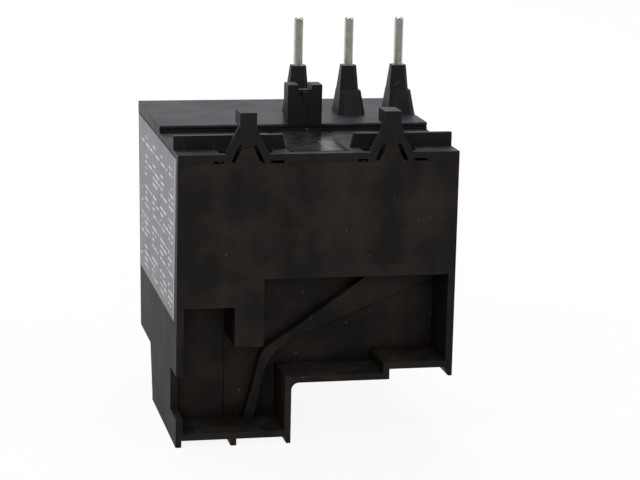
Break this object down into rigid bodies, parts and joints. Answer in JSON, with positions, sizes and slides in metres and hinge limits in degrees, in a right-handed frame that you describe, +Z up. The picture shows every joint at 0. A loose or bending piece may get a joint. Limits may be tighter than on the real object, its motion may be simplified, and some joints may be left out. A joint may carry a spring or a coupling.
{
  "type": "thermal overload relay",
  "caption": "Plug-in motor overload relay: black moulded housing with snap hooks and round plug pins on top, screw terminals, setting dial and buttons under a hinged clear door in front.",
  "frame": {"origin": "midway between the two snap hooks, at the rear face, at the underside of the hook heads", "axes": "+Z up along the plug pins, front with dial and terminals towards -Y, +X left as seen from behind"},
  "size_m": [0.045, 0.0551, 0.0645],
  "materials": {
    "black_moulding": "glass-filled polyamide, moulded, satin black",
    "cover_moulding": "moulded polyamide, dark grey",
    "silver_label": "matt silver polyester film",
    "tinned_pin": "tinned copper",
    "tinned_copper": "copper strip, part tinned",
    "bimetal": "rolled bimetal strip",
    "glass_braid": "woven glass sleeve",
    "heater_ribbon": "resistance ribbon",
    "zinc_screw": "zinc plated steel",
    "slide_plastic": "natural polyester moulding",
    "lever_plastic": "grey moulding",
    "steel_pin": "drawn steel wire",
    "contact_bronze": "phosphor bronze strip with silver rivets",
    "dial_plastic": "white moulding with a printed scale",
    "red_button": "red moulding",
    "blue_button": "blue moulding",
    "flag_plastic": "orange moulding",
    "spring_steel": "spring wire",
    "clear_door": "clear polycarbonate"
  },
  "bodies": {
    "base": {"main_housing": "black_moulding", "top_frame": "black_moulding", "front_cover": "cover_moulding", "side_label": "silver_label", "load_screws": "zinc_screw", "load_clamp_washers": "zinc_screw", "aux_screws": "zinc_screw", "aux_clamp_washers": "zinc_screw", "mechanism_frame": "lever_plastic", "setting_pivot_pin": "steel_pin", "trip_pivot_pin": "steel_pin", "nc_blade_terminal": "contact_bronze", "nc_fixed_contact": "contact_bronze", "no_blade_terminal": "contact_bronze", "no_fixed_contact": "contact_bronze", "stop_spring": "spring_steel", "reset_spring": "spring_steel", "contact_pin_1": "tinned_pin", "contact_pin_2": "tinned_pin", "contact_pin_3": "tinned_pin", "load_terminal_1": "tinned_copper", "load_terminal_2": "tinned_copper", "load_terminal_3": "tinned_copper"},
    "pole_strip_1": {"bimetal_strip_1": "bimetal", "winding_insulation_1": "glass_braid", "heater_winding_1": "heater_ribbon"},
    "pole_strip_2": {"bimetal_strip_2": "bimetal", "winding_insulation_2": "glass_braid", "heater_winding_2": "heater_ribbon"},
    "pole_strip_3": {"bimetal_strip_3": "bimetal", "winding_insulation_3": "glass_braid", "heater_winding_3": "heater_ribbon"},
    "trip_slide": {"trip_slide": "slide_plastic"},
    "differential_slide": {"differential_slide": "slide_plastic"},
    "setting_lever": {"setting_lever": "lever_plastic", "compensator_pin": "steel_pin"},
    "compensation_strip": {"compensation_strip": "bimetal"},
    "trip_lever": {"trip_lever": "slide_plastic", "trip_flag": "flag_plastic"},
    "nc_contact_blade": {"nc_contact_blade": "contact_bronze"},
    "no_contact_blade": {"no_contact_blade": "contact_bronze"},
    "setting_dial": {"setting_dial": "dial_plastic"},
    "stop_button": {"stop_button": "red_button"},
    "reset_button": {"reset_button": "blue_button"},
    "sealing_door": {"sealing_door": "clear_door"}
  },
  "joints": [
    {"name": "overload_travel", "type": "slide", "parent": "base", "child": "trip_slide", "axis": [1, 0, 0], "range_m": [0, 0.0015]},
    {"name": "differential_travel", "type": "slide", "parent": "base", "child": "differential_slide", "axis": [1, 0, 0], "range_m": [0, 0.0015]},
    {"name": "pole_strip_1_bend", "type": "hinge", "parent": "base", "child": "pole_strip_1", "pos_m": [-0.0188, -0.022, -0.0099], "axis": [0, -1, 0], "range_deg": [0, 3.5]},
    {"name": "pole_strip_2_bend", "type": "hinge", "parent": "base", "child": "pole_strip_2", "pos_m": [-0.01009, -0.022, -0.0099], "axis": [0, -1, 0], "range_deg": [0, 3.5]},
    {"name": "pole_strip_3_bend", "type": "hinge", "parent": "base", "child": "pole_strip_3", "pos_m": [-0.00138, -0.022, -0.0099], "axis": [0, -1, 0], "range_deg": [0, 3.5]},
    {"name": "compensation_swing", "type": "hinge", "parent": "setting_lever", "child": "compensation_strip", "pos_m": [0.0064, -0.022, -0.0149], "axis": [0, -1, 0], "range_deg": [0, 4.6]},
    {"name": "trip_swing", "type": "hinge", "parent": "base", "child": "trip_lever", "pos_m": [0.0145, -0.024, -0.0205], "axis": [0, -1, 0], "range_deg": [0, 8]},
    {"name": "nc_blade_bend", "type": "hinge", "parent": "base", "child": "nc_contact_blade", "pos_m": [0.01635, -0.0318, -0.0281], "axis": [0, -1, 0], "range_deg": [0, 4]},
    {"name": "no_blade_bend", "type": "hinge", "parent": "base", "child": "no_contact_blade", "pos_m": [0.01265, -0.0318, -0.0249], "axis": [0, -1, 0], "range_deg": [0, 5]},
    {"name": "current_setting", "type": "hinge", "parent": "base", "child": "setting_dial", "pos_m": [-0.0085, -0.047, -0.0129], "axis": [0, 1, 0], "range_deg": [-135, 135]},
    {"name": "setting_lever_swing", "type": "hinge", "parent": "base", "child": "setting_lever", "pos_m": [0.008, -0.032, -0.0087], "axis": [0, 1, 0], "range_deg": [-1, 1]},
    {"name": "stop_button_press", "type": "slide", "parent": "base", "child": "stop_button", "axis": [0, 1, 0], "range_m": [0, 0.002], "stiffness_N_per_m": 400, "springref_m": -0.002, "deforming": ["stop_spring"]},
    {"name": "reset_button_press", "type": "slide", "parent": "base", "child": "reset_button", "axis": [0, 1, 0], "range_m": [0, 0.002], "stiffness_N_per_m": 400, "springref_m": -0.002, "deforming": ["reset_spring"]},
    {"name": "sealing_door_open", "type": "hinge", "parent": "base", "child": "sealing_door", "pos_m": [0.0005, -0.0535, -0.0205], "axis": [1, 0, 0], "range_deg": [0, 110]}
  ],
  "couplings": [
    {"joint": "differential_travel", "follows": "overload_travel", "ratio": 1},
    {"joint": "pole_strip_1_bend", "follows": "overload_travel", "rad_per_m": 40.6},
    {"joint": "pole_strip_2_bend", "follows": "overload_travel", "rad_per_m": 40.6},
    {"joint": "pole_strip_3_bend", "follows": "overload_travel", "rad_per_m": 40.6},
    {"joint": "compensation_swing", "follows": "overload_travel", "rad_per_m": 52.6},
    {"joint": "trip_swing", "follows": "overload_travel", "rad_per_m": 93},
    {"joint": "nc_blade_bend", "follows": "overload_travel", "rad_per_m": 44.2},
    {"joint": "no_blade_bend", "follows": "overload_travel", "rad_per_m": 57},
    {"joint": "setting_lever_swing", "follows": "current_setting", "ratio": -0.00694}
  ]
}
